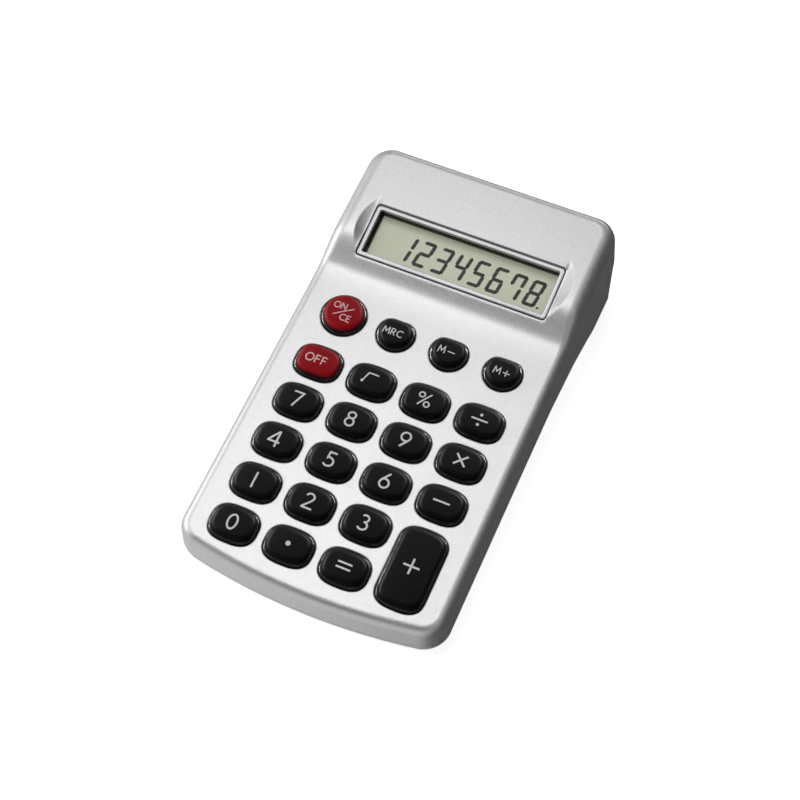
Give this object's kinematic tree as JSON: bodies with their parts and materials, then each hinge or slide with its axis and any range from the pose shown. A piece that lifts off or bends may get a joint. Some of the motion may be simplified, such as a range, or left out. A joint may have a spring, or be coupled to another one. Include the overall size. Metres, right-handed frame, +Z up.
{
  "type": "desk calculator",
  "caption": "Pocket-sized desk calculator with a sloped keypad of pressable keys, a raised display head and a slide-off battery door.",
  "frame": {"origin": "on the table, under the middle of the case's length and width", "axes": "+Z up, +Y towards the display end, +X to the user's right"},
  "size_m": [0.0626, 0.1116, 0.0268],
  "materials": {
    "silver_paint": "fine metallic silver paint on plastic, satin",
    "grey_plastic": "fine-textured grey moulded plastic",
    "frame_silver": "smooth light silver, satin",
    "clear_window": "clear acrylic, polished",
    "black_plastic": "black moulded plastic",
    "polariser": "thin film",
    "lcd_glass": "clear glass",
    "reflector_film": "grey-green reflecting film",
    "pink_rubber": "layered elastomer",
    "board_green": "green solder mask",
    "black_epoxy": "smooth epoxy drop",
    "part_tan": "ceramic parts",
    "silicone": "milky silicone",
    "carbon_rubber": "matt conductive rubber",
    "cell_jacket": "printed sleeve, plain bands",
    "nickel": "nickel-plated steel",
    "spring_steel": "plated spring wire",
    "lead_red": "insulation",
    "lead_black": "insulation",
    "screw_steel": "zinc-plated",
    "foot_rubber": "matt rubber",
    "key_black": "satin black key plastic with silver-white print",
    "key_red": "satin dark red key plastic with pale print"
  },
  "bodies": {
    "case": {"upper_case": "silver_paint", "lower_case": "grey_plastic", "display_frame": "frame_silver", "display_window": "clear_window", "display_holder": "black_plastic", "front_polariser": "polariser", "front_glass": "lcd_glass", "rear_glass": "lcd_glass", "reflector": "reflector_film", "contact_strip": "pink_rubber", "main_board": "board_green", "chip_blob": "black_epoxy", "board_parts": "part_tan", "key_mat": "silicone", "carbon_pills": "carbon_rubber", "cell_can": "cell_jacket", "cell_cap": "nickel", "positive_contact": "nickel", "negative_contact": "nickel", "negative_spring": "spring_steel", "positive_lead": "lead_red", "negative_lead": "lead_black", "case_screws": "screw_steel", "board_screws": "screw_steel", "rubber_feet": "foot_rubber"},
    "key_on_ce": {"key_on_ce": "key_red"},
    "key_mrc": {"key_mrc": "key_black"},
    "key_m_minus": {"key_m_minus": "key_black"},
    "key_m_plus": {"key_m_plus": "key_black"},
    "key_off": {"key_off": "key_red"},
    "key_root": {"key_root": "key_black"},
    "key_percent": {"key_percent": "key_black"},
    "key_divide": {"key_divide": "key_black"},
    "key_7": {"key_7": "key_black"},
    "key_8": {"key_8": "key_black"},
    "key_9": {"key_9": "key_black"},
    "key_multiply": {"key_multiply": "key_black"},
    "key_4": {"key_4": "key_black"},
    "key_5": {"key_5": "key_black"},
    "key_6": {"key_6": "key_black"},
    "key_minus": {"key_minus": "key_black"},
    "key_1": {"key_1": "key_black"},
    "key_2": {"key_2": "key_black"},
    "key_3": {"key_3": "key_black"},
    "key_0": {"key_0": "key_black"},
    "key_point": {"key_point": "key_black"},
    "key_equals": {"key_equals": "key_black"},
    "key_plus": {"key_plus": "key_black"},
    "battery_door": {"battery_door": "grey_plastic"}
  },
  "joints": [
    {"name": "press_on_ce", "type": "slide", "parent": "case", "child": "key_on_ce", "axis": [0, 0.1219, -0.9925], "range_m": [0, 0.001], "stiffness_N_per_m": 600, "springref_m": -0.0005, "deforming": ["key_mat"]},
    {"name": "press_mrc", "type": "slide", "parent": "case", "child": "key_mrc", "axis": [0, 0.1219, -0.9925], "range_m": [0, 0.001], "stiffness_N_per_m": 600, "springref_m": -0.0005, "deforming": ["key_mat"]},
    {"name": "press_m_minus", "type": "slide", "parent": "case", "child": "key_m_minus", "axis": [0, 0.1219, -0.9925], "range_m": [0, 0.001], "stiffness_N_per_m": 600, "springref_m": -0.0005, "deforming": ["key_mat"]},
    {"name": "press_m_plus", "type": "slide", "parent": "case", "child": "key_m_plus", "axis": [0, 0.1219, -0.9925], "range_m": [0, 0.001], "stiffness_N_per_m": 600, "springref_m": -0.0005, "deforming": ["key_mat"]},
    {"name": "press_off", "type": "slide", "parent": "case", "child": "key_off", "axis": [0, 0.1219, -0.9925], "range_m": [0, 0.001], "stiffness_N_per_m": 600, "springref_m": -0.0005, "deforming": ["key_mat"]},
    {"name": "press_root", "type": "slide", "parent": "case", "child": "key_root", "axis": [0, 0.1219, -0.9925], "range_m": [0, 0.001], "stiffness_N_per_m": 600, "springref_m": -0.0005, "deforming": ["key_mat"]},
    {"name": "press_percent", "type": "slide", "parent": "case", "child": "key_percent", "axis": [0, 0.1219, -0.9925], "range_m": [0, 0.001], "stiffness_N_per_m": 600, "springref_m": -0.0005, "deforming": ["key_mat"]},
    {"name": "press_divide", "type": "slide", "parent": "case", "child": "key_divide", "axis": [0, 0.1219, -0.9925], "range_m": [0, 0.001], "stiffness_N_per_m": 600, "springref_m": -0.0005, "deforming": ["key_mat"]},
    {"name": "press_7", "type": "slide", "parent": "case", "child": "key_7", "axis": [0, 0.1219, -0.9925], "range_m": [0, 0.001], "stiffness_N_per_m": 600, "springref_m": -0.0005, "deforming": ["key_mat"]},
    {"name": "press_8", "type": "slide", "parent": "case", "child": "key_8", "axis": [0, 0.1219, -0.9925], "range_m": [0, 0.001], "stiffness_N_per_m": 600, "springref_m": -0.0005, "deforming": ["key_mat"]},
    {"name": "press_9", "type": "slide", "parent": "case", "child": "key_9", "axis": [0, 0.1219, -0.9925], "range_m": [0, 0.001], "stiffness_N_per_m": 600, "springref_m": -0.0005, "deforming": ["key_mat"]},
    {"name": "press_multiply", "type": "slide", "parent": "case", "child": "key_multiply", "axis": [0, 0.1219, -0.9925], "range_m": [0, 0.001], "stiffness_N_per_m": 600, "springref_m": -0.0005, "deforming": ["key_mat"]},
    {"name": "press_4", "type": "slide", "parent": "case", "child": "key_4", "axis": [0, 0.1219, -0.9925], "range_m": [0, 0.001], "stiffness_N_per_m": 600, "springref_m": -0.0005, "deforming": ["key_mat"]},
    {"name": "press_5", "type": "slide", "parent": "case", "child": "key_5", "axis": [0, 0.1219, -0.9925], "range_m": [0, 0.001], "stiffness_N_per_m": 600, "springref_m": -0.0005, "deforming": ["key_mat"]},
    {"name": "press_6", "type": "slide", "parent": "case", "child": "key_6", "axis": [0, 0.1219, -0.9925], "range_m": [0, 0.001], "stiffness_N_per_m": 600, "springref_m": -0.0005, "deforming": ["key_mat"]},
    {"name": "press_minus", "type": "slide", "parent": "case", "child": "key_minus", "axis": [0, 0.1219, -0.9925], "range_m": [0, 0.001], "stiffness_N_per_m": 600, "springref_m": -0.0005, "deforming": ["key_mat"]},
    {"name": "press_1", "type": "slide", "parent": "case", "child": "key_1", "axis": [0, 0.1219, -0.9925], "range_m": [0, 0.001], "stiffness_N_per_m": 600, "springref_m": -0.0005, "deforming": ["key_mat"]},
    {"name": "press_2", "type": "slide", "parent": "case", "child": "key_2", "axis": [0, 0.1219, -0.9925], "range_m": [0, 0.001], "stiffness_N_per_m": 600, "springref_m": -0.0005, "deforming": ["key_mat"]},
    {"name": "press_3", "type": "slide", "parent": "case", "child": "key_3", "axis": [0, 0.1219, -0.9925], "range_m": [0, 0.001], "stiffness_N_per_m": 600, "springref_m": -0.0005, "deforming": ["key_mat"]},
    {"name": "press_0", "type": "slide", "parent": "case", "child": "key_0", "axis": [0, 0.1219, -0.9925], "range_m": [0, 0.001], "stiffness_N_per_m": 600, "springref_m": -0.0005, "deforming": ["key_mat"]},
    {"name": "press_point", "type": "slide", "parent": "case", "child": "key_point", "axis": [0, 0.1219, -0.9925], "range_m": [0, 0.001], "stiffness_N_per_m": 600, "springref_m": -0.0005, "deforming": ["key_mat"]},
    {"name": "press_equals", "type": "slide", "parent": "case", "child": "key_equals", "axis": [0, 0.1219, -0.9925], "range_m": [0, 0.001], "stiffness_N_per_m": 600, "springref_m": -0.0005, "deforming": ["key_mat"]},
    {"name": "press_plus", "type": "slide", "parent": "case", "child": "key_plus", "axis": [0, 0.1219, -0.9925], "range_m": [0, 0.001], "stiffness_N_per_m": 600, "springref_m": -0.0005, "deforming": ["key_mat"]},
    {"name": "door_slide", "type": "slide", "parent": "case", "child": "battery_door", "axis": [0, 1, 0], "range_m": [0, 0.024]}
  ]
}
